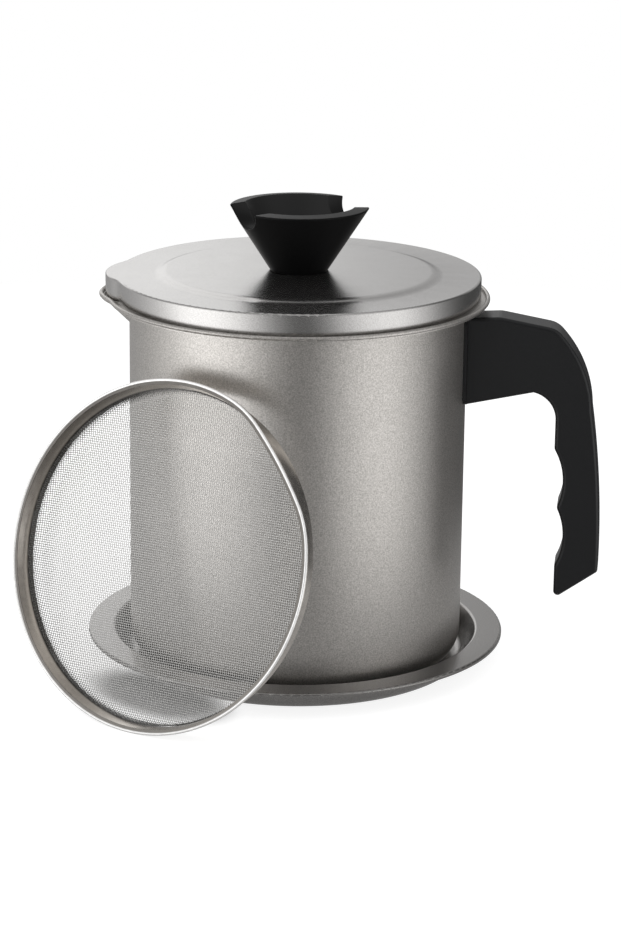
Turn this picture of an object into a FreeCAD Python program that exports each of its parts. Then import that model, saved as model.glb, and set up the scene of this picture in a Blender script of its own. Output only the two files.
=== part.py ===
"""Bacon grease container: drip tray, pot with handle, lid with cup knob, and the loose strainer.

The container stands on its tray, with the pot's axis on Z, the handle along +X and the pouring lip along -X.
The strainer is out of the pot: it stands on the table and leans on the pot's wall.
"""
import FreeCAD, Part
import math
import os
import Sketcher

doc = FreeCAD.newDocument("grease_container")

SIZES = (
    # pot
    ("pot_radius", "58", "outside of the pot's wall"),
    ("pot_sheet", "0.8", "sheet of the pot"),
    ("pot_depth", "127.6", "pot's foot to the top of its ledge"),
    ("pot_corner", "10", "outside bend between bottom and wall"),
    ("bead_radius", "0.75", "wire-like curl round the rim, section"),
    ("rim_reach", "65.6", "axis to the outside of the curl"),
    ("pot_spout_reach", "68.4", "axis to the tip of the pouring lip"),
    ("spout_tip_radius", "25", "round tip of the pouring lip, in plan"),
    ("spout_blend", "20", "hollow blend between rim and lip, in plan"),
    ("spout_drop", "10", "height of the beak under the pouring lip"),
    ("spout_angle", "6", "direction of the pouring lip from -X towards -Y, degrees"),
    # lid
    ("lid_radius", "62.5", "outside of the lid's skirt"),
    ("lid_sheet", "0.8", "sheet of the lid"),
    ("lid_skirt", "7.9", "height of the lid's skirt"),
    ("lid_edge", "0.7", "outside bend at the top of the skirt"),
    ("lid_spout_reach", "66.2", "axis to the tip of the lid's beak"),
    ("lid_rise", "1.2", "how far the middle of the lid stands up"),
    ("lid_disc_radius", "45", "flat raised middle of the lid"),
    ("lid_slope", "4.5", "width of the slope round the middle"),
    # knob
    ("knob_top_radius", "24", "knob at its rim"),
    ("knob_base_radius", "9.8", "knob at the lid"),
    ("knob_tall", "22.6", "knob from lid to rim"),
    ("knob_rim_fall", "0.5", "how far the rim face falls outwards"),
    ("knob_cup_radius", "19", "mouth of the cup in the knob"),
    ("knob_cup_floor", "12.5", "floor of the cup, radius"),
    ("knob_cup_depth", "11", "depth of the cup"),
    ("knob_notch_radius", "12", "round bar that cuts the two notches"),
    ("knob_notch_rise", "5", "axis of that bar above the rim"),
    ("knob_edge", "0.4", "rounding of the knob's edges"),
    ("knob_angle", "30.5", "direction of the notches from +X, degrees"),
    # knob fixing
    ("screw_radius", "2", "thread of both screws"),
    ("screw_head_radius", "3.6", "pan head of both screws"),
    ("screw_head_tall", "2.2", "pan head of both screws"),
    ("screw_drive", "1.1", "half width of the cross slot"),
    ("hole_play", "0.2", "play round a screw"),
    ("washer_radius", "7", "washer under the lid"),
    ("washer_sheet", "1", "thickness of the washer"),
    ("insert_radius", "3.5", "brass insert in the knob"),
    ("insert_tall", "8", "length of the insert"),
    ("insert_waist", "0.5", "groove that keys the insert in the plastic"),
    # handle
    ("handle_thick", "12.8", "handle across its sides"),
    ("handle_round", "1.3", "rounding of the handle's long edges"),
    ("handle_low", "34.9", "arm's underside at the pot, below the pot's ledge"),
    ("handle_top", "4.4", "arm's top at the pot, below the ledge"),
    ("handle_crest", "3.7", "highest line of the arm, below the ledge"),
    ("crest_line_out", "10.5", "saddle to that highest line"),
    ("handle_shoulder", "7", "outer end of the arm's top, below the ledge"),
    ("shoulder_in", "2", "that end inwards of the finger side"),
    ("shoulder_round", "8", "rounding of the two corners of the arm's top"),
    ("arm_rise", "5.3", "climb of the arm's underside from pot to knuckle bend"),
    ("knuckle_in", "9.1", "start of the knuckle bend inwards of the finger side"),
    ("knuckle_drop", "10", "end of the knuckle bend above the upper finger crest"),
    ("knuckle_radius", "9.6", "bend between the arm's underside and the grip"),
    ("elbow_in", "4", "start of the outer elbow inwards of the grip's outside"),
    ("elbow_radius", "41", "bend round the outside of the elbow"),
    ("grip_bow", "330", "long bow of the grip's outside"),
    ("grip_inner", "90.7", "axis to the finger side of the grip"),
    ("grip_wide", "15", "grip from its finger side to its outside"),
    ("grip_foot", "103.2", "lowest point of the grip, below the ledge"),
    ("grip_foot_rise", "10.6", "climb of the cut-off foot from inside to outside"),
    ("low_crest_rise", "12.5", "lowest finger crest above the grip's foot"),
    ("finger_pitch", "20.7", "distance between finger crests"),
    ("finger_radius", "22.5", "round bar that cuts a finger hollow"),
    ("high_crest_proud", "1.3", "how far the upper crest stands proud of the others"),
    ("crest_round", "2.5", "rounding of the finger crests"),
    ("tip_round", "1.5", "rounding of the two corners at the grip's foot"),
    # bracket
    ("bracket_sheet", "1.2", "saddle plate on the pot's wall"),
    ("bracket_wide", "15", "saddle plate, chord"),
    ("bracket_corner", "3", "rounded corners of the saddle plate"),
    ("tongue_long", "16", "tongue from the saddle into the handle"),
    ("tongue_wide", "8", "width of the tongue"),
    ("tongue_thick", "3", "thickness of the tongue"),
    ("tongue_fall", "18.6", "middle of the tongue, below the ledge"),
    ("tongue_play", "0.15", "play round the tongue"),
    ("tongue_screw", "10", "saddle to the screw"),
    ("head_recess", "4.5", "depth of the screw's recess at its shallow side"),
    # tray
    ("tray_sheet", "0.8", "sheet of the tray"),
    ("tray_floor_radius", "59", "floor of the tray, inside corner"),
    ("tray_mouth_radius", "63.6", "top of the tray's wall, inside"),
    ("tray_radius", "72.8", "outside of the tray's flange"),
    ("tray_tall", "10", "table to the top of the flange"),
    ("tray_edge", "1.3", "turned-down edge of the flange"),
    ("tray_corner", "4", "inside bend between floor and wall"),
    ("tray_lip_bend", "1", "bend between wall and flange"),
    # strainer
    ("strainer_radius", "58.5", "outside of the strainer's lip"),
    ("strainer_lip", "1.4", "width of the lip"),
    ("strainer_sheet", "0.5", "sheet of the strainer's rim"),
    ("strainer_hem", "1.1", "thickness of the lip, which is folded over"),
    ("strainer_edge", "0.45", "rounding of the lip's edges"),
    ("strainer_flat", "2.3", "middle of the lip's flat, inwards of the round"),
    ("strainer_bow", "140", "slight bow of that flat"),
    ("strainer_corner", "35", "rounding between the flat and the round"),
    ("strainer_flat_angle", "42.7", "direction of the flat in the strainer, degrees"),
    ("strainer_band", "4.2", "depth of the steel band down to its round part"),
    ("strainer_taper", "1", "how much narrower the band is at its round part"),
    ("strainer_skirt", "3.4", "height of that round part, outside the cloth"),
    ("mesh_thick", "0.5", "woven cloth as one skin"),
    ("mesh_play", "0.1", "play between the cloth and the steel round it"),
    ("mesh_deep", "5.7", "depth of the cloth's pan"),
    ("mesh_corner", "2.2", "outside bend of the cloth's pan"),
    ("strainer_lean_angle", "16.7", "lean of the strainer from upright, degrees"),
    ("strainer_turn_angle", "26.6", "direction of the strainer from -Y towards -X, degrees"),
    ("lean_gap", "0.25", "clearance between strainer and pot"),
)

sheet = doc.addObject("Spreadsheet::Sheet", "Sizes")
for row, (alias, number, meaning) in enumerate(SIZES, start=1):
    sheet.set(f"A{row}", meaning)
    sheet.set(f"B{row}", number)
    sheet.setAlias(f"B{row}", alias)
doc.recompute()


class Dim:
    """A size: its value now, and the expression on the sheet that drives it."""

    def __init__(self, value, text=None):
        self.value = float(value)
        self.text = text or f"({value})"

    def join(self, other, sign, value):
        return Dim(value, f"({self.text} {sign} {other.text})")

    def __add__(self, other):
        other = as_dim(other)
        return self.join(other, "+", self.value + other.value)

    def __sub__(self, other):
        other = as_dim(other)
        return self.join(other, "-", self.value - other.value)

    def __mul__(self, other):
        other = as_dim(other)
        return self.join(other, "*", self.value * other.value)

    def __truediv__(self, other):
        other = as_dim(other)
        return self.join(other, "/", self.value / other.value)

    def __neg__(self):
        return self * -1

    def root(self):
        return Dim(math.sqrt(self.value), f"sqrt({self.text})")


def as_dim(number):
    return number if isinstance(number, Dim) else Dim(number)


def size(alias):
    return Dim(sheet.get(alias), f"Sizes.{alias}")


ZERO = Dim(0)


class Bend:
    """An arc between two corners: radius, turn (+1 left, -1 right), and if it is the long way round."""

    def __init__(self, radius, turn, long_way=False):
        self.radius = as_dim(radius)
        self.turn = turn
        self.long_way = long_way

    def edge(self, start, end):
        reach = start.distanceToPoint(end) / 2
        rise = math.sqrt(max(self.radius.value ** 2 - reach ** 2, 0))
        side = -self.turn if self.long_way else self.turn
        left = FreeCAD.Vector(start.y - end.y, end.x - start.x, 0).normalize()
        centre = (start + end) / 2 + left * rise * side
        first, last = (start, end) if self.turn > 0 else (end, start)
        angles = [math.atan2(p.y - centre.y, p.x - centre.x) for p in (first, last)]
        circle = Part.Circle(centre, FreeCAD.Vector(0, 0, 1), self.radius.value)
        if angles[1] < angles[0]:
            angles[1] += 2 * math.pi
        return Part.ArcOfCircle(circle, *angles)


def new_body(label):
    body = doc.addObject("PartDesign::Body", label)
    body.Label = label
    return body


def new_sketch(body, role, height=None):
    sketch = body.newObject("Sketcher::SketchObject", f"{body.Label}_sketch")
    sketch.AttachmentSupport = [(next(f for f in body.Origin.OriginFeatures if f.Role == role), "")]
    sketch.MapMode = "FlatFace"
    if height is not None:
        sketch.setExpression("AttachmentOffset.Base.z", height.text)
    return sketch


def drive(sketch, constraint, dim):
    index = sketch.addConstraint(constraint)
    sketch.setExpression(f"Constraints[{index}]", dim.text)


def outline(sketch, corners):
    """Closed outline through corners (x, y) or (x, y, Bend); a Bend shapes the edge that leaves it."""
    points = [FreeCAD.Vector(as_dim(c[0]).value, as_dim(c[1]).value, 0) for c in corners]
    ends = []
    for number, corner in enumerate(corners):
        start, end = points[number], points[(number + 1) % len(points)]
        if len(corner) == 2:
            ends.append((sketch.addGeometry(Part.LineSegment(start, end)), 1, 2))
            continue
        index = sketch.addGeometry(corner[2].edge(start, end))
        drive(sketch, Sketcher.Constraint("Radius", index, corner[2].radius.value), corner[2].radius)
        ends.append((index, 1, 2) if corner[2].turn > 0 else (index, 2, 1))
    for number, corner in enumerate(corners):
        before, here = ends[number - 1], ends[number]
        sketch.addConstraint(Sketcher.Constraint("Coincident", before[0], before[2], here[0], here[1]))
        for kind, value in (("DistanceX", corner[0]), ("DistanceY", corner[1])):
            value = as_dim(value)
            drive(sketch, Sketcher.Constraint(kind, -1, 1, here[0], here[1], value.value), value)
    return sketch


def circle(sketch, x, y, radius):
    centre = FreeCAD.Vector(as_dim(x).value, as_dim(y).value, 0)
    index = sketch.addGeometry(Part.Circle(centre, FreeCAD.Vector(0, 0, 1), radius.value))
    drive(sketch, Sketcher.Constraint("Radius", index, radius.value), radius)
    for kind, value in (("DistanceX", x), ("DistanceY", y)):
        value = as_dim(value)
        drive(sketch, Sketcher.Constraint(kind, -1, 1, index, 3, value.value), value)
    return sketch


def turned(body, sketch, kind="Revolution"):
    """Turn a profile in the XZ plane round Z, as added or removed metal."""
    feature = body.newObject(f"PartDesign::{kind}", f"{body.Label}_{kind}")
    feature.Profile = sketch
    feature.ReferenceAxis = (sketch, ["V_Axis"])
    feature.Angle = 360
    doc.recompute()
    return feature


def raised(body, sketch, height, both_ways=False):
    feature = body.newObject("PartDesign::Pad", f"{body.Label}_pad")
    feature.Profile = sketch
    feature.Midplane = both_ways
    feature.setExpression("Length", height.text)
    doc.recompute()
    return feature


def cut(body, sketch, depth=None, upwards=False):
    """Cut a sketch away, right through both ways or to a depth, and make sure that it takes something."""
    before = body.Shape.Volume
    feature = body.newObject("PartDesign::Pocket", f"{body.Label}_cut")
    feature.Profile = sketch
    feature.Reversed = upwards
    if depth is None:
        feature.Type = "ThroughAll"
        feature.Midplane = True
    else:
        feature.setExpression("Length", depth.text)
    doc.recompute()
    if body.Shape.Volume >= before:
        raise RuntimeError(f"{body.Label}: a cut takes nothing")
    return feature


def rounded(body, radius, wanted, kind="Fillet"):
    """Round (or bevel) the edges that the test wants, by their two ends and middle."""
    names = []
    for number, edge in enumerate(body.Shape.Edges, start=1):
        middle = edge.valueAt((edge.FirstParameter + edge.LastParameter) / 2)
        if wanted(edge, middle):
            names.append(f"Edge{number}")
    if not names:
        raise RuntimeError(f"{body.Label}: no edge to round")
    base = body.Tip
    feature = body.newObject(f"PartDesign::{kind}", f"{body.Label}_{kind}")
    feature.Base = (base, names)
    feature.setExpression("Radius" if kind == "Fillet" else "Size", radius.text)
    doc.recompute()
    if "Invalid" in feature.State:
        raise RuntimeError(f"{body.Label}: {kind} of {names} failed")
    return feature


def reach(point):
    return math.hypot(point.x, point.y)


def near(a, b, slack=0.02):
    return abs(a - as_dim(b).value) < slack


def spout_outline(ring, tip, tip_radius, blend):
    """Round outline with a beak towards -X: a long arc, a blend, the tip and a blend."""
    centre = tip - tip_radius
    far = (ring + blend) * (ring + blend) - (tip_radius + blend) * (tip_radius + blend) + centre * centre
    blend_x = far / (centre * 2)
    blend_y = ((ring + blend) * (ring + blend) - blend_x * blend_x).root()
    ring_share = ring / (ring + blend)
    tip_share = tip_radius / (tip_radius + blend)
    ring_x, ring_y = -(blend_x * ring_share), blend_y * ring_share
    tip_x, tip_y = -(centre + (blend_x - centre) * tip_share), blend_y * tip_share
    return (
        (ring_x, -ring_y, Bend(ring, 1, long_way=True)),
        (ring_x, ring_y, Bend(blend, -1)),
        (tip_x, tip_y, Bend(tip_radius, 1)),
        (tip_x, -tip_y, Bend(blend, -1)),
    )


def make_tray():
    body = new_body("drip_tray")
    skin = size("tray_sheet")
    floor, mouth, rim = size("tray_floor_radius"), size("tray_mouth_radius"), size("tray_radius")
    top = size("tray_tall")
    low_edge = top - size("tray_edge")
    profile = (
        (ZERO, ZERO), (floor + skin, ZERO), (mouth + skin, top - skin), (rim - skin, top - skin),
        (rim - skin, low_edge), (rim, low_edge), (rim, top), (mouth, top), (floor, skin), (ZERO, skin),
    )
    turned(body, outline(new_sketch(body, "XZ_Plane"), profile))
    corner = size("tray_corner")
    lip = size("tray_lip_bend")
    rounded(body, corner + skin, lambda e, p: near(p.z, ZERO) and near(reach(p), floor + skin))
    rounded(body, corner, lambda e, p: near(p.z, skin) and near(reach(p), floor))
    rounded(body, lip, lambda e, p: near(p.z, top) and near(reach(p), mouth))
    rounded(body, skin, lambda e, p: near(p.z, top) and near(reach(p), rim))
    return body


def pot_foot():
    return size("tray_sheet")


def make_pot():
    body = new_body("pot_shell")
    radius, skin, tall = size("pot_radius"), size("pot_sheet"), size("pot_depth")
    mouth = radius - skin
    cup = ((ZERO, ZERO), (radius, ZERO), (radius, tall), (mouth, tall), (mouth, skin), (ZERO, skin))
    turned(body, outline(new_sketch(body, "XZ_Plane"), cup))
    corner = size("pot_corner")
    rounded(body, corner, lambda e, p: near(p.z, ZERO) and near(reach(p), radius))
    rounded(body, corner - skin, lambda e, p: near(p.z, skin) and near(reach(p), mouth))

    bead = size("bead_radius")
    ring, tip = size("rim_reach") - bead, size("pot_spout_reach") - bead
    tip_radius, blend = size("spout_tip_radius"), size("spout_blend")
    path = spout_outline(ring, tip, tip_radius, blend)
    ledge = outline(new_sketch(body, "XY_Plane", tall - skin), path)
    raised(body, ledge, skin)

    beak = size("spout_drop")
    beak_x = tip - tip_radius
    beak_top, beak_low = tip_radius - skin, tip_radius - skin - beak
    outer = body.newObject("PartDesign::AdditiveCone", "pot_shell_beak")
    place_cone(outer, body, beak_low, beak_top, beak, -beak_x, tall - skin - beak)
    bore = new_sketch(body, "XY_Plane", tall)
    cut(body, circle(bore, ZERO, ZERO, mouth), beak + skin * 2)
    inner = body.newObject("PartDesign::SubtractiveCone", "pot_shell_beak_hollow")
    slant = skin * math.sqrt(2)
    hollow = beak + skin
    place_cone(inner, body, beak_low - slant, beak_top - slant + skin, hollow, -beak_x, tall - hollow)

    curl_high = tall - skin / 2 + bead
    curl = outline(new_sketch(body, "XY_Plane", curl_high), path)
    section = circle(new_sketch(body, "XZ_Plane"), ring, curl_high, bead)
    pipe = body.newObject("PartDesign::AdditivePipe", "pot_shell_curl")
    pipe.Profile = section
    pipe.Spine = (curl, [f"Edge{n}" for n in range(1, len(path) + 1)])
    doc.recompute()
    body.setExpression("Placement.Base.z", pot_foot().text)
    body.setExpression("Placement.Rotation.Angle", size("spout_angle").text)
    return body


def place_cone(cone, body, low, top, tall, x, z):
    cone.AttachmentSupport = [(next(f for f in body.Origin.OriginFeatures if f.Role == "XY_Plane"), "")]
    cone.MapMode = "FlatFace"
    cone.setExpression("Radius1", low.text)
    cone.setExpression("Radius2", top.text)
    cone.setExpression("Height", tall.text)
    cone.setExpression("AttachmentOffset.Base.x", x.text)
    cone.setExpression("AttachmentOffset.Base.z", z.text)
    doc.recompute()


def make_lid():
    body = new_body("lid_shell")
    skirt, skin, rise = size("lid_skirt"), size("lid_sheet"), size("lid_rise")
    disc, slope = size("lid_disc_radius"), size("lid_slope")
    tip_radius, blend = size("spout_tip_radius"), size("spout_blend")
    ring, tip = size("lid_radius"), size("lid_spout_reach")
    raised(body, outline(new_sketch(body, "XY_Plane"), spout_outline(ring, tip, tip_radius, blend)), skirt)
    inside = spout_outline(ring - skin, tip - skin, tip_radius - skin, blend + skin)
    cut(body, outline(new_sketch(body, "XY_Plane"), inside), skirt - skin, upwards=True)
    rounded(body, size("lid_edge"), lambda e, p: near(p.z, skirt))
    hollow = ((ZERO, skirt - skin), (disc + slope, skirt - skin), (disc, skirt - skin + rise),
              (ZERO, skirt - skin + rise))
    crown = ((ZERO, skirt - skin), (disc + slope, skirt - skin),
             (disc + slope, skirt), (disc, skirt + rise),
             (ZERO, skirt + rise))
    turned(body, outline(new_sketch(body, "XZ_Plane"), crown))
    turned(body, outline(new_sketch(body, "XZ_Plane"), hollow), "Groove")
    top = new_sketch(body, "XY_Plane", skirt + rise)
    hole = circle(top, ZERO, ZERO, size("screw_radius") + size("hole_play"))
    cut(body, hole, rise + skin)
    body.setExpression("Placement.Base.z", lid_foot().text)
    body.setExpression("Placement.Rotation.Angle", size("spout_angle").text)
    return body


def lid_foot():
    return pot_foot() + size("pot_depth")


def lid_top():
    return lid_foot() + size("lid_skirt") + size("lid_rise")


def make_knob():
    body = new_body("lid_knob")
    top, base, tall = size("knob_top_radius"), size("knob_base_radius"), size("knob_tall")
    cup, floor, depth = size("knob_cup_radius"), size("knob_cup_floor"), size("knob_cup_depth")
    insert, insert_tall = size("insert_radius"), size("insert_tall")
    profile = (
        (insert, ZERO), (base, ZERO), (top, tall - size("knob_rim_fall")),
        (cup, tall), (floor, tall - depth),
        (ZERO, tall - depth), (ZERO, insert_tall), (insert, insert_tall),
    )
    turned(body, outline(new_sketch(body, "XZ_Plane"), profile))
    notch_axis = tall + size("knob_notch_rise")
    notch = circle(new_sketch(body, "YZ_Plane"), ZERO, notch_axis, size("knob_notch_radius"))
    cut(body, notch)
    rounded(body, size("knob_edge"),
            lambda e, p: is_notch_edge(e) or any(near(reach(p), r) for r in (top, cup, base)))
    body.setExpression("Placement.Base.z", lid_top().text)
    body.setExpression("Placement.Rotation.Angle", size("knob_angle").text)
    return body


def is_notch_edge(edge):
    """Whether all of an edge lies on the round bar that cuts the notches."""
    high, radius = size("knob_tall") + size("knob_notch_rise"), size("knob_notch_radius")
    steps = [edge.FirstParameter + (edge.LastParameter - edge.FirstParameter) * n / 4 for n in range(5)]
    return all(near(math.hypot(p.y, p.z - high.value), radius) for p in map(edge.valueAt, steps))


def make_insert():
    body = new_body("knob_insert")
    radius, tall, waist = size("insert_radius"), size("insert_tall"), size("insert_waist")
    bore = size("screw_radius")
    profile = (
        (bore, ZERO), (radius, ZERO), (radius, tall / 3), (radius - waist, tall / 3),
        (radius - waist, tall * 2 / 3), (radius, tall * 2 / 3), (radius, tall), (bore, tall),
    )
    turned(body, outline(new_sketch(body, "XZ_Plane"), profile))
    body.setExpression("Placement.Base.z", lid_top().text)
    return body


def pan_screw(label, length):
    """Cross-slotted pan-head screw that points up, with the seat of its head at z = 0."""
    body = new_body(label)
    shank, head, tall = size("screw_radius"), size("screw_head_radius"), size("screw_head_tall")
    profile = ((ZERO, -tall), (head, -tall), (head, ZERO), (shank, ZERO), (shank, length), (ZERO, length))
    turned(body, outline(new_sketch(body, "XZ_Plane"), profile))
    rounded(body, tall / 2, lambda e, p: near(p.z, -tall) and near(reach(p), head))
    wide, deep = size("screw_drive"), tall / 2
    arm = head - wide
    cross = ((arm, -wide / 2), (arm, wide / 2), (wide / 2, wide / 2), (wide / 2, arm), (-wide / 2, arm),
             (-wide / 2, wide / 2), (-arm, wide / 2), (-arm, -wide / 2), (-wide / 2, -wide / 2),
             (-wide / 2, -arm), (wide / 2, -arm), (wide / 2, -wide / 2))
    cut(body, outline(new_sketch(body, "XY_Plane", -tall), cross), deep, upwards=True)
    return body


def make_knob_fixing():
    skin, washer = size("lid_sheet"), size("washer_sheet")
    disc = new_body("knob_washer")
    ring = new_sketch(disc, "XY_Plane")
    circle(ring, ZERO, ZERO, size("washer_radius"))
    circle(ring, ZERO, ZERO, size("screw_radius") + size("hole_play"))
    raised(disc, ring, washer)
    under = lid_top() - skin - washer
    disc.setExpression("Placement.Base.z", under.text)
    screw = pan_screw("knob_screw", skin + washer + size("insert_tall") - size("hole_play"))
    screw.setExpression("Placement.Base.z", under.text)
    return disc, screw


def below_ledge(alias):
    return size("pot_depth") - size(alias)


def saddle_face():
    return size("pot_radius") + size("bracket_sheet")


def make_bracket():
    body = new_body("handle_bracket")
    inner, outer, half = size("pot_radius"), saddle_face(), size("bracket_wide") / 2
    low, high = below_ledge("handle_low"), below_ledge("handle_top")
    inner_x = (inner * inner - half * half).root()
    outer_x = (outer * outer - half * half).root()
    plate = (
        (inner_x, -half), (outer_x, -half, Bend(outer, 1)),
        (outer_x, half), (inner_x, half, Bend(inner, -1)),
    )
    raised(body, outline(new_sketch(body, "XY_Plane", low), plate), high - low)
    rounded(body, size("bracket_corner"),
            lambda e, p: near(abs(p.y), half) and e.Length < size("bracket_corner").value)
    thick, wide = size("tongue_thick"), size("tongue_wide") / 2
    end = outer + size("tongue_long")
    root = outer - size("bracket_sheet") / 2
    tongue = ((root, -wide), (end, -wide), (end, wide), (root, wide))
    bottom = below_ledge("tongue_fall") - thick / 2
    raised(body, outline(new_sketch(body, "XY_Plane", bottom), tongue), thick)
    tapped = new_sketch(body, "XY_Plane", bottom)
    cut(body, circle(tapped, outer + size("tongue_screw"), ZERO, size("screw_radius")), thick, upwards=True)
    body.setExpression("Placement.Base.z", pot_foot().text)
    return body


def handle_side():
    """Side view of the handle: its outline, and the corners of it that get a rounding."""
    start = size("pot_radius")
    low, top = below_ledge("handle_low"), below_ledge("handle_top")
    inner, foot = size("grip_inner"), below_ledge("grip_foot")
    outer = inner + size("grip_wide")
    third = foot + size("low_crest_rise")
    second = third + size("finger_pitch")
    first = second + size("finger_pitch")
    proud = inner - size("high_crest_proud")
    crests = ((proud, first), (inner, second), (inner, third))
    tips = ((inner, foot), (outer, foot + size("grip_foot_rise")))
    shoulders = (
        (inner - size("shoulder_in"), below_ledge("handle_shoulder")),
        (saddle_face() + size("crest_line_out"), below_ledge("handle_crest")),
    )
    finger = Bend(size("finger_radius"), -1)
    side = (
        (start, low),
        (inner - size("knuckle_in"), low + size("arm_rise"), Bend(size("knuckle_radius"), -1)),
        (proud, first + size("knuckle_drop")),
        (*crests[0], finger),
        (*crests[1], finger),
        crests[2],
        tips[0],
        (*tips[1], Bend(size("grip_bow"), 1)),
        (outer - size("elbow_in"), low, Bend(size("elbow_radius"), 1)),
        *shoulders,
        (start, top),
    )
    return side, crests, tips, shoulders


def make_handle():
    body = new_body("handle")
    side, crests, tips, shoulders = handle_side()
    start, low = size("pot_radius"), below_ledge("handle_low")
    thick = size("handle_thick")
    raised(body, outline(new_sketch(body, "XZ_Plane"), side), thick, both_ways=True)
    seat = new_sketch(body, "XY_Plane")
    cut(body, circle(seat, ZERO, ZERO, saddle_face()))
    for corners, radius in ((crests, size("crest_round")), (tips, size("tip_round")),
                            (shoulders, size("shoulder_round"))):
        rounded(body, radius,
                lambda e, p: near(p.y, ZERO) and any(near(p.x, x) and near(p.z, z) for x, z in corners))
    for half in (thick / 2, -thick / 2):
        rounded(body, size("handle_round"),
                lambda e, p: near(p.y, half) and not near(reach(p), saddle_face(), 0.4))
    play = size("tongue_play")
    slot_x = saddle_face() + size("tongue_long") + play
    slot_y, slot_z = size("tongue_wide") / 2 + play, size("tongue_thick") / 2 + play
    slot = ((start, -slot_y), (slot_x, -slot_y), (slot_x, slot_y), (start, slot_y))
    high = below_ledge("tongue_fall")
    cut(body, outline(new_sketch(body, "XY_Plane", high + slot_z), slot), slot_z * 2)
    screw_x = saddle_face() + size("tongue_screw")
    seat_z = low + size("head_recess")
    hole_radius = size("screw_radius") + size("hole_play")
    hole = circle(new_sketch(body, "XY_Plane", high), screw_x, ZERO, hole_radius)
    cut(body, hole, high - low)
    recess_radius = size("screw_head_radius") + size("hole_play")
    recess = circle(new_sketch(body, "XY_Plane", seat_z), screw_x, ZERO, recess_radius)
    cut(body, recess, size("head_recess"))
    body.setExpression("Placement.Base.z", pot_foot().text)
    return body


def make_handle_screw():
    seat = below_ledge("handle_low") + size("head_recess")
    screw = pan_screw("handle_screw", below_ledge("tongue_fall") + size("tongue_thick") / 2 - seat)
    screw.setExpression("Placement.Base.x", (saddle_face() + size("tongue_screw")).text)
    screw.setExpression("Placement.Base.z", (pot_foot() + seat).text)
    return screw


def flat_ring(inset, is_round=False):
    """Outline of the strainer's lip moved inwards: a long arc, and a bowed flat towards +X, its ends rounded.

    The round version has its corners in the same directions, so that a wall can run from one to the other.
    """
    radius, bow = size("strainer_radius") - inset, size("strainer_bow") - inset
    corner = size("strainer_corner") - inset
    bow_centre = bow - radius + size("strainer_flat")
    to_round, to_bow = radius - corner, bow - corner
    corner_x = (to_bow * to_bow - to_round * to_round - bow_centre * bow_centre) / (bow_centre * 2)
    corner_y = (to_round * to_round - corner_x * corner_x).root()
    round_x, round_y = corner_x * radius / to_round, corner_y * radius / to_round
    flat_x = (corner_x + bow_centre) * bow / to_bow - bow_centre
    flat_y = corner_y * bow / to_bow
    if is_round:
        grow = radius / (flat_x * flat_x + flat_y * flat_y).root()
        flat_x, flat_y, bow, corner = flat_x * grow, flat_y * grow, radius, radius
    return (
        (round_x, round_y, Bend(radius, 1, long_way=True)),
        (round_x, -round_y, Bend(corner, 1)),
        (flat_x, -flat_y, Bend(bow, 1)),
        (flat_x, flat_y, Bend(corner, 1)),
    )


def band_wall(body, kind, inset):
    """Tapered wall of the band: with the flat at the lip, and quite round at its lower edge."""
    feature = body.newObject(f"PartDesign::{kind}", f"{body.Label}_{kind}")
    feature.Profile = outline(new_sketch(body, "XY_Plane"), flat_ring(inset))
    low = flat_ring(inset + size("strainer_taper"), is_round=True)
    feature.Sections = [outline(new_sketch(body, "XY_Plane", -size("strainer_band")), low)]
    feature.Ruled = True
    doc.recompute()
    return feature


def make_strainer_rim():
    body = new_body("strainer_rim")
    wide, skin, hem, edge = (size(f"strainer_{name}") for name in ("lip", "sheet", "hem", "edge"))
    raised(body, outline(new_sketch(body, "XY_Plane", -hem), flat_ring(ZERO)), hem)
    rounded(body, edge, lambda e, p: near(p.z, ZERO) or near(p.z, -hem))
    band_wall(body, "AdditiveLoft", wide)
    skirt = new_sketch(body, "XY_Plane", -skirt_depth())
    circle(skirt, ZERO, ZERO, skirt_radius())
    raised(body, skirt, size("strainer_skirt"))
    band_wall(body, "SubtractiveLoft", wide + skin)
    bore = new_sketch(body, "XY_Plane", -size("strainer_band"))
    cut(body, circle(bore, ZERO, ZERO, skirt_radius() - skin), size("strainer_skirt"))
    stand_strainer(body)
    return body


def skirt_depth():
    return size("strainer_band") + size("strainer_skirt")


def skirt_radius():
    return size("strainer_radius") - size("strainer_lip") - size("strainer_taper")


def cloth_radius():
    return skirt_radius() - size("strainer_sheet") - size("mesh_play")


def cloth_floor():
    return -size("strainer_band") - size("mesh_play") - size("mesh_deep")


def make_strainer_mesh():
    """Pan of the cloth, as one closed skin: the weave's holes are left out."""
    body = new_body("strainer_mesh")
    radius, thick, corner = cloth_radius(), size("mesh_thick"), size("mesh_corner")
    bottom = cloth_floor()
    top = bottom + size("mesh_deep")
    pan = ((ZERO, bottom), (radius, bottom), (radius, top), (radius - thick, top),
           (radius - thick, bottom + thick), (ZERO, bottom + thick))
    turned(body, outline(new_sketch(body, "XZ_Plane"), pan))
    rounded(body, corner, lambda e, p: near(p.z, bottom) and near(reach(p), radius))
    inside = radius - thick
    rounded(body, corner - thick, lambda e, p: near(p.z, bottom + thick) and near(reach(p), inside))
    stand_strainer(body)
    return body


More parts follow.
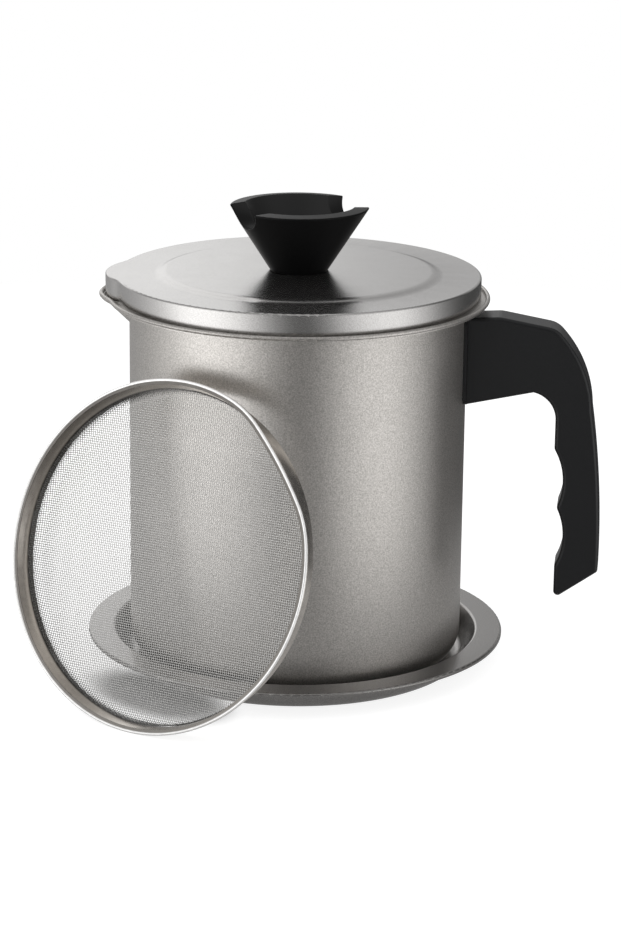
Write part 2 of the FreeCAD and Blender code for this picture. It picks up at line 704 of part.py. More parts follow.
def stand_strainer(body):
    """Stand the strainer on the table, its back to the pot, its cloth's far edge against the pot's wall."""
    lean = math.radians(size("strainer_lean_angle").value)
    turn = math.radians(size("strainer_turn_angle").value)
    wall = (size("pot_radius") + size("lean_gap")).value
    corner = size("mesh_corner").value
    flat, deep = cloth_radius().value - corner, -cloth_floor().value - corner
    away = wall + flat * math.sin(lean) + deep * math.cos(lean) + corner
    edge = size("strainer_edge").value
    low, behind = size("strainer_radius").value - edge, size("strainer_hem").value - edge
    high = low * math.cos(lean) + behind * math.sin(lean) + edge
    outwards = FreeCAD.Vector(-math.sin(turn), -math.cos(turn), 0)
    centre = outwards * away + FreeCAD.Vector(0, 0, high)
    about_z = FreeCAD.Rotation(FreeCAD.Vector(0, 0, 1), -size("strainer_turn_angle").value)
    about_x = FreeCAD.Rotation(FreeCAD.Vector(1, 0, 0), 90 - size("strainer_lean_angle").value)
    flat_turn = FreeCAD.Rotation(FreeCAD.Vector(0, 0, 1), size("strainer_flat_angle").value)
    body.Placement = FreeCAD.Placement(centre, about_z * about_x * flat_turn)


def write_parts():
    doc.recompute()
    for thing in doc.Objects:
        if "Invalid" in thing.State or "Error" in thing.State:
            raise RuntimeError(f"{thing.Label}: {thing.State}")
    os.makedirs("parts", exist_ok=True)
    for body in doc.findObjects("PartDesign::Body"):
        shape = body.Shape
        if shape.isNull() or not shape.isValid() or not shape.Solids:
            raise RuntimeError(f"{body.Label}: its shape is not a sound solid")
        shape.exportStep(f"parts/{body.Label}.step")
        box = shape.optimalBoundingBox()
        print(f"{body.Label:16s} {len(shape.Solids)} solid, {shape.Volume:10.1f} mm3, "
              f"z {box.ZMin:6.2f} to {box.ZMax:6.2f}")


make_tray()
make_pot()
make_bracket()
make_handle()
make_handle_screw()
make_lid()
make_knob()
make_insert()
make_knob_fixing()
make_strainer_rim()
make_strainer_mesh()
write_parts()
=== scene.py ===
# %% [markdown]
# # A grease pot with its strainer: the looks
# The shapes come from a construction model, which is loaded as a fixed frame. This notebook adds what
# that model leaves out: the strainer's woven wire, the finish of every surface, the light and the
# camera. Everything is in metres. Z points up, the handle is towards +X and the pouring lip towards -X.

# %% Load the frame
import math

import bpy
from mathutils import Matrix, Vector


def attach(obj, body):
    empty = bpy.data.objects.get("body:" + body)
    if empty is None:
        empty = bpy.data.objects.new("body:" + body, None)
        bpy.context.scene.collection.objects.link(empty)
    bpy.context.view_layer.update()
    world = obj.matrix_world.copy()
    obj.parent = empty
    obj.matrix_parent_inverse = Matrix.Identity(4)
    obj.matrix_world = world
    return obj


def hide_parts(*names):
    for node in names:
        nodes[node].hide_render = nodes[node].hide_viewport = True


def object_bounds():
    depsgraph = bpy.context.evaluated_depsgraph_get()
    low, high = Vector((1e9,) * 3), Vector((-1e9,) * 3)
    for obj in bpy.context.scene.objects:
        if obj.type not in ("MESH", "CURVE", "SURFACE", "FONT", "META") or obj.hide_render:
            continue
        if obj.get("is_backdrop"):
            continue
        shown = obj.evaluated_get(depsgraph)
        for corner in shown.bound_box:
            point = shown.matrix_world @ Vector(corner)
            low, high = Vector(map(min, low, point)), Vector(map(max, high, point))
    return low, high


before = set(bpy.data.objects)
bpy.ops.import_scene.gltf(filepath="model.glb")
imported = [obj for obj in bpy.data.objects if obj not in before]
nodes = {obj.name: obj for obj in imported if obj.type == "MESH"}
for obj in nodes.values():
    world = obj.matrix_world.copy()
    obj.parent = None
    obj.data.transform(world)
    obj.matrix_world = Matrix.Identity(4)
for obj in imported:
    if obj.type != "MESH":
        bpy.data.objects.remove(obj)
MM = 0.001
cad_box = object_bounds()
print("nodes:", {name: len(node.data.polygons) for name, node in sorted(nodes.items())})

# %% [markdown]
# ## Helpers for node trees
# Materials, the world and Geometry Nodes are all trees of nodes with links between sockets. One helper
# adds a node and fills its sockets: a value is written, a socket is linked. The others wrap the nodes
# used most, so that a tree reads like a sum.

# %% Add a node


def fill(tree, socket, value):
    if isinstance(value, bpy.types.NodeSocket):
        tree.links.new(value, socket)
    else:
        socket.default_value = value


def add(tree, kind, sockets=None, **settings):
    """Add a node, set its properties, then fill its input sockets with values or links."""
    new = tree.nodes.new(kind)
    for name, value in settings.items():
        setattr(new, name, value)
    for name, value in (sockets or {}).items():
        fill(tree, new.inputs[name], value)
    return new


# %% Sums with numbers and vectors


def maths(tree, operation, *values):
    return add(tree, "ShaderNodeMath", dict(enumerate(values)), operation=operation).outputs[0]


def vectors(tree, operation, *values):
    return add(tree, "ShaderNodeVectorMath", dict(enumerate(values)), operation=operation).outputs[0]


def length(tree, vector):
    return add(tree, "ShaderNodeVectorMath", {0: vector}, operation="LENGTH").outputs["Value"]


def scaled(tree, vector, share):
    return add(tree, "ShaderNodeVectorMath", {0: vector, "Scale": share}, operation="SCALE").outputs[0]


def split(tree, vector):
    """X, Y and Z of a vector."""
    return add(tree, "ShaderNodeSeparateXYZ", {0: vector}).outputs


def off_axis(tree, x, y):
    """Distance from the upright axis."""
    squares = maths(tree, "ADD", maths(tree, "MULTIPLY", x, x), maths(tree, "MULTIPLY", y, y))
    return maths(tree, "SQRT", squares)


# %% From one value to another


def soft_step(tree, value, low, high):
    """0 below low, 1 above high, and a smooth climb between them."""
    sockets = {"Value": value, "From Min": low, "From Max": high}
    return add(tree, "ShaderNodeMapRange", sockets, interpolation_type="SMOOTHERSTEP").outputs[0]


def blend(tree, share, first, second):
    """A number between two numbers."""
    sockets = {"Factor": share, "A": first, "B": second}
    return add(tree, "ShaderNodeMix", sockets, data_type="FLOAT").outputs[0]


def blend_colours(tree, share, first, second):
    """A colour between two colours. Its sockets go by number, as their names aren't unique."""
    mix = add(tree, "ShaderNodeMix", {"Factor": share}, data_type="RGBA")
    fill(tree, mix.inputs[6], first)
    fill(tree, mix.inputs[7], second)
    return mix.outputs[2]


# %% Where a point is


def object_place(tree):
    return add(tree, "ShaderNodeTexCoord").outputs["Object"]


def seen_from(tree, centre, angles, size=(1, 1, 1)):
    """Object coordinates in a frame with its own centre, angles and size."""
    sockets = {"Vector": object_place(tree), "Location": centre, "Rotation": angles, "Scale": size}
    return add(tree, "ShaderNodeMapping", sockets, vector_type="TEXTURE").outputs[0]


# %% [markdown]
# ## The camera
# A long lens a metre away looks down on the pot by about sixteen degrees. Its length is given in pixels
# of a picture of a set height, because that doesn't depend on the size of the sensor. The small shift
# moves the view in its frame, as cropping would. The camera could be placed by three coordinates and
# three angles. A turn, a rise and a distance from the point that it looks at say more, and the same
# function places the lamps.

# %% Camera
PICTURE_HIGH = 931
LENS_PIXELS = 2973.5
SENSOR_HIGH = 36
TARGET = Vector((0, 0, 0.066))
CAMERA_AWAY = 1.037
CAMERA_TURN = math.radians(7.0)
CAMERA_RISE = math.radians(16.25)
CAMERA_ROLL = math.radians(0.6)
OFF_CENTRE = Vector((13.7, 4.46))


def aimed(turn, rise, away, roll=0.0):
    """A place that looks at TARGET: turned round it, raised above the level, and so far away."""
    spin = Matrix.Rotation(turn, 4, "Z")
    lift = Matrix.Rotation(math.radians(90) - rise, 4, "X")
    back = Matrix.Translation((0, 0, away))
    return Matrix.Translation(TARGET) @ spin @ lift @ back @ Matrix.Rotation(roll, 4, "Z")


def into_scene(name, data):
    thing = bpy.data.objects.new(name, data)
    bpy.context.scene.collection.objects.link(thing)
    return thing


camera_data = bpy.data.cameras.new("camera")
camera_data.sensor_fit = "VERTICAL"
camera_data.sensor_height = SENSOR_HIGH
camera_data.lens = LENS_PIXELS / PICTURE_HIGH * SENSOR_HIGH
camera_data.shift_x, camera_data.shift_y = OFF_CENTRE / PICTURE_HIGH
camera = into_scene("camera", camera_data)
camera.matrix_world = aimed(CAMERA_TURN, CAMERA_RISE, CAMERA_AWAY, CAMERA_ROLL)
bpy.context.scene.camera = camera
print("lens, mm:", round(camera_data.lens, 1))

# %% [markdown]
# ## The studio
# Polished and coated metal has no looks of its own: it shows the room. A picture of a real studio would
# do, but it would be a file of its own, and no single wall of it could be made brighter. So the room is
# drawn with a few nodes. The camera sees a plain white world. Reflections see a studio whose brightness
# goes round the object on one smooth curve: a tall soft box on each side, a dim gap where the camera
# stands, and a dark corner behind on the right. Higher up the walls are dimmer, a lit wall stands
# behind, and the ceiling is even. All other light is an even grey-white.

# %% The curve round the room
ROOM_LEVELS = (
    (-180, 0.40), (-150, 0.42), (-125, 0.58), (-105, 0.85), (-86, 1.40), (-64, 1.98), (-44, 1.66),
    (-25, 0.85), (-8, 0.27), (3, 0.14), (14, 0.28), (30, 0.88), (45, 1.32), (60, 1.50), (76, 1.15),
    (92, 0.66), (108, 0.24), (125, 0.10), (150, 0.08), (180, 0.15))
LEVEL_TOP = 2.0


def round_the_room(tree, angle):
    """Brightness by the angle in degrees from the camera's side. A curve node works from 0 to 1 only."""
    curve = add(tree, "ShaderNodeFloatCurve", {"Value": maths(tree, "MULTIPLY_ADD", angle, 1 / 360, 0.5)})
    points = curve.mapping.curves[0].points
    pairs = [(turn / 360 + 0.5, level / LEVEL_TOP) for turn, level in ROOM_LEVELS]
    points[0].location, points[-1].location = pairs[0], pairs[-1]
    for pair in pairs[1:-1]:
        points.new(*pair)
    curve.mapping.update()
    return maths(tree, "MULTIPLY", curve.outputs[0], LEVEL_TOP)


print("points on the curve:", len(ROOM_LEVELS))

# %% The room
HIGH_WALLS = 0.62
WALLS_DIM = (0.0, 0.22)
BACK_WALL_LEFT = 1.06
BACK_WALL_RIGHT = 0.42
BACK_WALL_TURNS = (-0.15, 0.15)
BACK_WALL_STARTS = (0.5, 0.85)
BACK_WALL_FOOT = (-0.02, 0.18)
CEILING = 0.55
CEILING_STARTS = (0.55, 0.9)


def studio_room(tree):
    """Brightness of the room seen in reflections, by direction."""
    ahead = add(tree, "ShaderNodeTexCoord").outputs["Generated"]
    level = add(tree, "ShaderNodeVectorRotate", {"Vector": ahead, "Angle": -CAMERA_TURN},
                rotation_type="Z_AXIS")
    east, north, up = split(tree, level.outputs[0])
    angle = maths(tree, "DEGREES", maths(tree, "ARCTAN2", east, maths(tree, "MULTIPLY", north, -1)))
    dimmer = blend(tree, soft_step(tree, up, *WALLS_DIM), 1.0, HIGH_WALLS)
    walls = maths(tree, "MULTIPLY", round_the_room(tree, angle), dimmer)
    lit = blend(tree, soft_step(tree, east, *BACK_WALL_TURNS), BACK_WALL_LEFT, BACK_WALL_RIGHT)
    behind = soft_step(tree, north, *BACK_WALL_STARTS)
    above_floor = soft_step(tree, up, *BACK_WALL_FOOT)
    with_wall = maths(tree, "MULTIPLY_ADD", maths(tree, "MULTIPLY", behind, above_floor), lit, walls)
    return blend(tree, soft_step(tree, up, *CEILING_STARTS), with_wall, CEILING)


# %% World
BACKDROP = 1.0
AMBIENT = 0.62
WHITE = (1, 1, 1, 1)

world = bpy.data.worlds.new("studio")
bpy.context.scene.world = world
world.use_nodes = True
world.cycles.sampling_method = "NONE"
tree = world.node_tree
tree.nodes.clear()
path = add(tree, "ShaderNodeLightPath").outputs
mirrored = maths(tree, "MAXIMUM", path["Is Glossy Ray"], path["Is Transmission Ray"])
even_or_room = blend(tree, mirrored, AMBIENT, studio_room(tree))
strength = blend(tree, path["Is Camera Ray"], even_or_room, BACKDROP)
background = add(tree, "ShaderNodeBackground", {"Color": WHITE, "Strength": strength})
add(tree, "ShaderNodeOutputWorld", {"Surface": background.outputs[0]})
print("nodes in the world:", len(tree.nodes))

# %% [markdown]
# ## Lamps
# Two wide round lamps, one on each side and above, give the soft shadow on the table. Small lamps would
# give a hard one. The room already has its bright walls, so the lamps don't show in reflections: a
# second highlight would burn out the lid.

# %% Lamps


def round_lamp(name, turn, rise, away, wide, power):
    """A round lamp that looks at TARGET: turn in degrees from the camera's side, rise above the level."""
    data = bpy.data.lights.new(name, "AREA")
    data.shape = "DISK"
    data.size = wide
    data.energy = power
    lamp = into_scene(name, data)
    lamp.visible_glossy = False
    lamp.matrix_world = aimed(CAMERA_TURN + math.radians(turn), math.radians(rise), away)


round_lamp("key", turn=-48, rise=48, away=1.1, wide=1.4, power=7.5)
round_lamp("fill", turn=55, rise=40, away=1.2, wide=1.4, power=4.0)
print("lamps:", len(bpy.data.lights))

# %% [markdown]
# ## The floor
# The floor is a pale disc. For the camera its own light lifts it to the white of the backdrop, and it
# still shows the object's shadow. A painted shadow makes it darker in the narrow corner between
# strainer, tray and floor. In reflections it shows only a painted shade round the object, a dim glow of
# fixed strength, which fades outwards until the room takes over. A plain disc would show its rim there,
# as a line across the metal.

# %% The disc
FLOOR_RADIUS = 0.6
FLOOR_SIDES = 96


def make_floor():
    mesh = bpy.data.meshes.new("floor")
    angles = [2 * math.pi * n / FLOOR_SIDES for n in range(FLOOR_SIDES)]
    ring = [(FLOOR_RADIUS * math.cos(angle), FLOOR_RADIUS * math.sin(angle), 0) for angle in angles]
    mesh.from_pydata(ring, [], [tuple(range(FLOOR_SIDES))])
    return into_scene("floor", mesh)


floor = make_floor()
floor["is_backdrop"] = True
print("floor, m:", list(floor.dimensions))

# %% The floor's finish
PLAIN_FLOOR = (0.8, 0.8, 0.8, 1)
PALE_FLOOR = (0.36, 0.36, 0.36, 1)
FLOOR_GLOW = 0.84
# SHADE_TONE and SHADE_FADES set a painted shade that reflections see round the object.
SHADE_TONE = 0.36
SHADE_FADES = (0.10, 0.27)
# The corner's place, turn, size, fades and light set a painted shadow on the floor.
CORNER_PLACE = (-0.040, -0.054, 0)
CORNER_TURN = math.radians(-40)
CORNER_SIZE = (0.040, 0.021, 1)
CORNER_FADES = (0.45, 1.0)
CORNER_LIGHT = 0.05


def painted_corner_shadow(tree):
    """A painted shadow: 1 on the open floor, and near 0 in an oval corner between strainer, tray and floor.
    """
    off = length(tree, seen_from(tree, CORNER_PLACE, (0, 0, CORNER_TURN), CORNER_SIZE))
    return blend(tree, soft_step(tree, off, *CORNER_FADES), CORNER_LIGHT, 1.0)


def mix_shaders(tree, share, first, second):
    return add(tree, "ShaderNodeMixShader", {0: share, 1: first, 2: second}).outputs[0]


def floor_material():
    """Three floors in one: for the camera, for reflections, and for all other light."""
    material = bpy.data.materials.new("floor_white")
    material.use_nodes = True
    tree = material.node_tree
    tree.nodes.clear()
    path = add(tree, "ShaderNodeLightPath").outputs
    plain = add(tree, "ShaderNodeBsdfDiffuse", {"Color": PLAIN_FLOOR}).outputs[0]
    pale = add(tree, "ShaderNodeBsdfDiffuse", {"Color": PALE_FLOOR}).outputs[0]
    # The floor's glow is dimmed in the corner by the painted shadow.
    strength = maths(tree, "MULTIPLY", painted_corner_shadow(tree), FLOOR_GLOW)
    glow = add(tree, "ShaderNodeEmission", {"Strength": strength}).outputs[0]
    lifted = add(tree, "ShaderNodeAddShader", {0: pale, 1: glow}).outputs[0]
    out = length(tree, object_place(tree))
    # A painted shade: near the object, reflections see a glow of fixed strength, not the lit floor.
    shade = add(tree, "ShaderNodeEmission", {"Strength": SHADE_TONE}).outputs[0]
    clear = add(tree, "ShaderNodeBsdfTransparent").outputs[0]
    faded = mix_shaders(tree, soft_step(tree, out, *SHADE_FADES), shade, clear)
    seen = mix_shaders(tree, path["Is Camera Ray"], plain, lifted)
    all_rays = mix_shaders(tree, path["Is Glossy Ray"], seen, faded)
    add(tree, "ShaderNodeOutputMaterial", {"Surface": all_rays})
    return material


floor.data.materials.append(floor_material())
print("floor's finish:", floor.data.materials[0].name)

# %% [markdown]
# ## The strainer's own frame
# The strainer leans on the pot, turned a little to the left. Its parts are easier to describe in a
# frame of their own, which lies in its lip, so one function gives that frame. Its finish needs the
# frame as well.

# %% Where the strainer stands
LEAN = math.radians(16.7)
TURN = math.radians(26.6)
POT_WALL = 58.25 * MM
LIP_RADIUS = 58.5 * MM
LIP_HEM = 1.1 * MM
LIP_EDGE = 0.45 * MM
PAN_RADIUS = 55.5 * MM
PAN_DEPTH = 10.0 * MM
PAN_BEND = 2.2 * MM
CLOTH_THICK = 0.5 * MM


def strainer_place():
    """X goes across, Y up the slope, Z out of the strainer's mouth, and its lip's face is at Z = 0."""
    flat_radius, flat_depth = PAN_RADIUS - PAN_BEND, PAN_DEPTH - PAN_BEND
    away = POT_WALL + flat_radius * math.sin(LEAN) + flat_depth * math.cos(LEAN) + PAN_BEND
    high = (LIP_RADIUS - LIP_EDGE) * math.cos(LEAN) + (LIP_HEM - LIP_EDGE) * math.sin(LEAN) + LIP_EDGE
    centre = Vector((-math.sin(TURN) * away, -math.cos(TURN) * away, high))
    upright = Matrix.Rotation(math.radians(90) - LEAN, 4, "X")
    return Matrix.Translation(centre) @ Matrix.Rotation(-TURN, 4, "Z") @ upright


print("strainer's centre, mm:", [round(v / MM, 1) for v in strainer_place().translation])

# %% [markdown]
# ## Finishes
# Every finish is one Principled shader. What is even all over a surface stays on the shader's own
# sockets. What varies comes from noise: one noise can drive the colour, the roughness and the relief,
# so that they belong together. The noise reads Object coordinates, so the grain stays on its piece when
# that moves.

# %% Helpers for finishes
DARK_GRAIN = 0.3
LIGHT_GRAIN = 0.7


def finish(name, **shader):
    """A new material with one Principled shader."""
    material = bpy.data.materials.new(name)
    material.use_nodes = True
    tree = material.node_tree
    tree.nodes.clear()
    surface = add(tree, "ShaderNodeBsdfPrincipled", shader)
    add(tree, "ShaderNodeOutputMaterial", {"Surface": surface.outputs[0]})
    return material, tree, surface


def grain(tree, size, detail=2.0, seed=0.0):
    """Noise with grains of a size in metres."""
    noise = {"Vector": object_place(tree), "Scale": 1 / size, "Detail": detail, "W": seed}
    return add(tree, "ShaderNodeTexNoise", noise, noise_dimensions="4D").outputs[0]


def shades(tree, value, dark, light):
    """Colour between dark and light, as a grain goes from DARK_GRAIN to LIGHT_GRAIN."""
    sockets = {"Value": value, "From Min": DARK_GRAIN, "From Max": LIGHT_GRAIN}
    share = add(tree, "ShaderNodeMapRange", sockets).outputs[0]
    return blend_colours(tree, share, (*dark, 1), (*light, 1))


def uneven_gloss(tree, surface, value, rough, spread):
    """Roughness that follows a grain, by spread to both sides."""
    sockets = {"Value": value, "To Min": rough - spread, "To Max": rough + spread}
    fill(tree, surface.inputs["Roughness"], add(tree, "ShaderNodeMapRange", sockets).outputs[0])


def bumps(tree, surface, height, distance):
    bump = add(tree, "ShaderNodeBump", {"Height": height, "Distance": distance})
    fill(tree, surface.inputs["Normal"], bump.outputs[0])


# %% [markdown]
# ### Coatings
# Pot, lid and tray wear a baked coating with fine metal flake. A picture of the flake would need
# unwrapping and would blur close up, so noise makes the grain. The coating is nearly a metal, and so
# the room's bright and dark sides show on the pot as broad soft bands. On the pot it is rough, and its
# grain of half a millimetre shows well. The lid is smoother and mirrors its knob, and the tray is
# darker.

# %% Coatings
CLOUD_SIZE = 9 * MM
CLOUD_SEED = 3.0
CLOUD_SPREAD = 0.03


def coating(name, dark, light, rough, flake, depth, metal=0.92):
    """Fine flake in its colour, a broad cloudiness in its gloss, and a slight relief."""
    material, tree, surface = finish(name, Metallic=metal)
    speck = grain(tree, flake, detail=1.0)
    fill(tree, surface.inputs["Base Color"], shades(tree, speck, dark, light))
    uneven_gloss(tree, surface, grain(tree, CLOUD_SIZE, seed=CLOUD_SEED), rough, CLOUD_SPREAD)
    bumps(tree, surface, speck, depth)
    return material


pot_coat = coating("pot_coating", (0.36, 0.345, 0.325), (0.60, 0.575, 0.55),
                   rough=0.36, flake=0.45 * MM, depth=0.02 * MM)
lid_coat = coating("lid_coating", (0.47, 0.46, 0.45), (0.55, 0.54, 0.53),
                   rough=0.23, flake=0.4 * MM, depth=0.004 * MM, metal=0.99)
tray_coat = coating("tray_coating", (0.24, 0.233, 0.227), (0.37, 0.358, 0.346),
                    rough=0.20, flake=0.4 * MM, depth=0.01 * MM)
print("coatings:", pot_coat.name, lid_coat.name, tray_coat.name)

# %% [markdown]
# ### Plastics
# Handle and knob are moulded in black plastic with the fine pores of an etched mould. The pores are too
# small to model, so noise makes them, as a slight relief. The knob is a deep cup, and its inside is
# given a lighter colour: a painted sheen for the light that the cup catches. The way that the surface
# faces tells the inside from the outside, and no mask has to be painted.

# %% Plastics
PORE_LIGHTER = 1.35
PORE_SPREAD = 0.04
FACES_IN = (-0.1, -0.6)


def facing_in(tree):
    """1 where a surface faces the object's upright axis, as the inside of a cup does, and 0 elsewhere."""
    outwards = vectors(tree, "NORMALIZE", vectors(tree, "MULTIPLY", object_place(tree), (1, 1, 0)))
    normal = add(tree, "ShaderNodeNewGeometry").outputs["Normal"]
    dot = add(tree, "ShaderNodeVectorMath", {0: normal, 1: outwards}, operation="DOT_PRODUCT")
    return soft_step(tree, dot.outputs["Value"], *FACES_IN)


def plastic(name, colour, rough, gloss, pore, depth, inside=None):
    """Moulded plastic. inside, if it has a cup, is the lighter colour of a painted sheen inside the cup."""
    material, tree, surface = finish(name, **{"Specular IOR Level": gloss})
    pores = grain(tree, pore)
    lighter = tuple(channel * PORE_LIGHTER for channel in colour)
    shade = shades(tree, pores, colour, lighter)
    if inside:
        # A painted sheen: the inside of the cup is lighter.
        shade = blend_colours(tree, facing_in(tree), shade, (*inside, 1))
    fill(tree, surface.inputs["Base Color"], shade)
    uneven_gloss(tree, surface, pores, rough, PORE_SPREAD)
    bumps(tree, surface, pores, depth)
    return material


handle_black = plastic("handle_plastic", (0.0050, 0.0052, 0.0058),
                       rough=0.36, gloss=0.38, pore=0.35 * MM, depth=0.02 * MM)
# The knob's inside colour is a painted sheen.
knob_black = plastic("knob_plastic", (0.0036, 0.0036, 0.0037), inside=(0.017, 0.017, 0.017),
                     rough=0.36, gloss=0.08, pore=0.3 * MM, depth=0.006 * MM)
print("plastics:", handle_black.name, knob_black.name)

# %% [markdown]
# ### Bare metals
# Strainer and screws are bare steel, and the insert in the knob is brass. In so shallow a pan as the
# strainer's the eye reads the shape by its shade: a dark seam under the lip's roll, a dark corner where
# the band holds the cloth, and wires that are bright on their crests and dim in their valleys. In such
# narrow places the light alone leaves too little shade, so it is put into the colour. For the rim it is
# found by the height in the strainer's own frame. The wires carry it with them as two attributes, crest
# and wall, which their tree writes.

# %% Bare metals
STREAK_DARKER = 0.86
STREAK_SPREAD = 0.05


def bare_metal(name, colour, rough, streak, dim=None, metal=1.0):
    """Metal with the faint streaks of its making. dim gives the share of light that is left, as painted
    shade.
    """
    material, tree, surface = finish(name, Metallic=metal)
    marks = grain(tree, streak, detail=3.0)
    darker = tuple(channel * STREAK_DARKER for channel in colour)
    shade = shades(tree, marks, darker, colour)
    if dim:
        shade = scaled(tree, shade, dim(tree))
    fill(tree, surface.inputs["Base Color"], shade)
    uneven_gloss(tree, surface, marks, rough, STREAK_SPREAD)
    return material


lip_steel = bare_metal("lip_steel", (0.97, 0.96, 0.95), rough=0.13, streak=2 * MM, metal=0.55)
plain_steel = bare_metal("pan_steel", (0.62, 0.61, 0.60), rough=0.20, streak=1 * MM)
screw_steel = bare_metal("screw_steel", (0.62, 0.62, 0.62), rough=0.3, streak=1 * MM)
brass = bare_metal("insert_brass", (0.78, 0.6, 0.3), rough=0.35, streak=1 * MM)
print("metals:", lip_steel.name, plain_steel.name, screw_steel.name, brass.name)

# %% Steel with painted shade
# The seam, the band's corner and their light set the painted shade on the strainer's rim.
LIP_SEAM = (-0.22 * MM, -0.10 * MM)
SEAM_LIGHT = 0.22
BAND_SHADE = (-5.0 * MM, -3.4 * MM)
BAND_OUTSIDE = (55.80 * MM, 55.95 * MM)
SHADE_LIGHT = 0.06
# VALLEY_LIGHT and WALL_LIGHT set the painted shade on the wires.
VALLEY_LIGHT = 0.42
WALL_LIGHT = 0.45


def rim_shade(tree):
    """Painted shade: little light in the seam under the lip's roll, and in the corner where the band holds
    the cloth.
    """
    own = strainer_place()
    x, y, height = split(tree, seen_from(tree, own.translation, own.to_euler()))
    inside = maths(tree, "SUBTRACT", 1, soft_step(tree, off_axis(tree, x, y), *BAND_OUTSIDE))
    deep = maths(tree, "SUBTRACT", 1, soft_step(tree, height, *BAND_SHADE))
    corner = blend(tree, maths(tree, "MULTIPLY", inside, deep), 1.0, SHADE_LIGHT)
    seam = blend(tree, soft_step(tree, height, *LIP_SEAM), 1.0, SEAM_LIGHT)
    return maths(tree, "MULTIPLY", corner, seam)


def wire_shade(tree):
    """Painted highlight and shade: the crests of the wires catch the light, and those on the pan's wall
    stand in its shade.
    """
    crest = add(tree, "ShaderNodeAttribute", attribute_name="crest").outputs["Fac"]
    wall = add(tree, "ShaderNodeAttribute", attribute_name="wall").outputs["Fac"]
    by_crest = blend(tree, crest, VALLEY_LIGHT, 1.0)
    by_wall = blend(tree, wall, 1.0, WALL_LIGHT)
    return maths(tree, "MULTIPLY", by_crest, by_wall)


rim_steel = bare_metal("strainer_steel", (0.80, 0.755, 0.70), rough=0.24, streak=2 * MM, dim=rim_shade)
wire_steel = bare_metal("mesh_steel", (0.85, 0.84, 0.82), rough=0.16, streak=1 * MM, dim=wire_shade)
print("shaded steel:", rim_steel.name, wire_steel.name)

# %% [markdown]
# ### Which piece wears what
# A loaded piece keeps its shape and gets a new material in its slot. The bracket behind the handle is a
# metal part, but only its thin edge shows, and there it looks as black as the handle, so it wears the
# handle's black plastic as a painted shade.

# %% Put the finishes on
FINISHES = {
    pot_coat: ("pot_shell",), lid_coat: ("lid_shell",), tray_coat: ("drip_tray",),
    # The bracket's black is painted shade.
    handle_black: ("handle", "handle_bracket"), knob_black: ("lid_knob",),
    rim_steel: ("strainer_rim",), plain_steel: ("strainer_mesh",),
    screw_steel: ("handle_screw", "knob_screw", "knob_washer"), brass: ("knob_insert",),
}
for material, wearers in FINISHES.items():
    for name in wearers:
        nodes[name].data.materials.clear()
        nodes[name].data.materials.append(material)
print("finishes:", len(FINISHES))

# %% [markdown]
# ## Helpers for Geometry Nodes
# A Geometry Nodes tree is a recipe that a modifier runs. Its inputs have names, so one tree serves
# pieces of many sizes. In the modifier an input goes by its socket's identifier and not by its name.

# %% Trees and their inputs


def new_tree(name, inputs):
    """A tree that takes and gives geometry, and its inputs' sockets. inputs are names with kinds."""
    tree = bpy.data.node_groups.new(name, "GeometryNodeTree")
    for label, kind in {"Geometry": "Geometry", **inputs}.items():
        tree.interface.new_socket(label, in_out="INPUT", socket_type=f"NodeSocket{kind}")
    tree.interface.new_socket("Geometry", in_out="OUTPUT", socket_type="NodeSocketGeometry")
    return tree, add(tree, "NodeGroupInput").outputs


def use_tree(thing, tree, values):
    """Give an object a modifier that runs a tree, with values for its inputs."""
    modifier = thing.modifiers.new(tree.name, "NODES")
    modifier.node_group = tree
    for socket in tree.interface.items_tree:
        if socket.name in values and socket.in_out == "INPUT":
            modifier[socket.identifier] = values[socket.name]


def plain_mesh(thing):
    """Replace an object's mesh by what its modifiers make of it."""
    bpy.context.view_layer.update()
    graph = bpy.context.evaluated_depsgraph_get()
    mesh = bpy.data.meshes.new_from_object(thing.evaluated_get(graph))
    thing.modifiers.clear()
    thing.data = mesh


def greater(tree, first, second):
    sockets = {"A": first, "B": second}
    return add(tree, "FunctionNodeCompare", sockets, operation="GREATER_THAN").outputs[0]


def end_tree(tree, geometry, material):
    """Real geometry in one material, as an export drops instances."""
    real = add(tree, "GeometryNodeRealizeInstances", {0: geometry}).outputs[0]
    dressed = add(tree, "GeometryNodeSetMaterial", {"Geometry": real, "Material": material}).outputs[0]
    add(tree, "NodeGroupOutput", {0: dressed})


# %% [markdown]
# ## Smooth shading for the loaded pieces
# The frame's meshes are loose triangles, so each would shade as a facet. A small tree joins them and
# shades them smooth, but keeps every edge crisp where two faces meet at more than a set angle. Then a
# weighted normal lets large faces count for more than slivers, which keeps flat sheet metal flat.

# %% Smooth by angle
CRISP = math.radians(55)
JOIN = 0.002 * MM


def smooth_tree():
    tree, given = new_tree("smooth", {})
    sockets = {"Geometry": given["Geometry"], "Distance": JOIN}
    joined = add(tree, "GeometryNodeMergeByDistance", sockets).outputs[0]
    smooth = add(tree, "GeometryNodeSetShadeSmooth", {"Geometry": joined, "Shade Smooth": True},
                 domain="FACE").outputs[0]
    crisp = greater(tree, add(tree, "GeometryNodeInputMeshEdgeAngle").outputs["Unsigned Angle"], CRISP)
    edges = add(tree, "GeometryNodeSetShadeSmooth",
                {"Geometry": smooth, "Selection": crisp, "Shade Smooth": False}, domain="EDGE").outputs[0]
    add(tree, "NodeGroupOutput", {0: edges})
    return tree


smooth = smooth_tree()
for node in nodes.values():
    use_tree(node, smooth, {})
    even = node.modifiers.new("even", "WEIGHTED_NORMAL")
    even.keep_sharp = True
    even.weight = 100
print("smoothed:", len(nodes))

# %% [markdown]
# ## True shading on the edge bends
# The bends at the edges of the lid and the tray are less than a millimetre wide, and are cut into
# uneven triangles, so a reflection along them would break into dashes. Each bend is a quarter round, so
# the right normal follows from the height alone: level at its foot, and upright at its top.

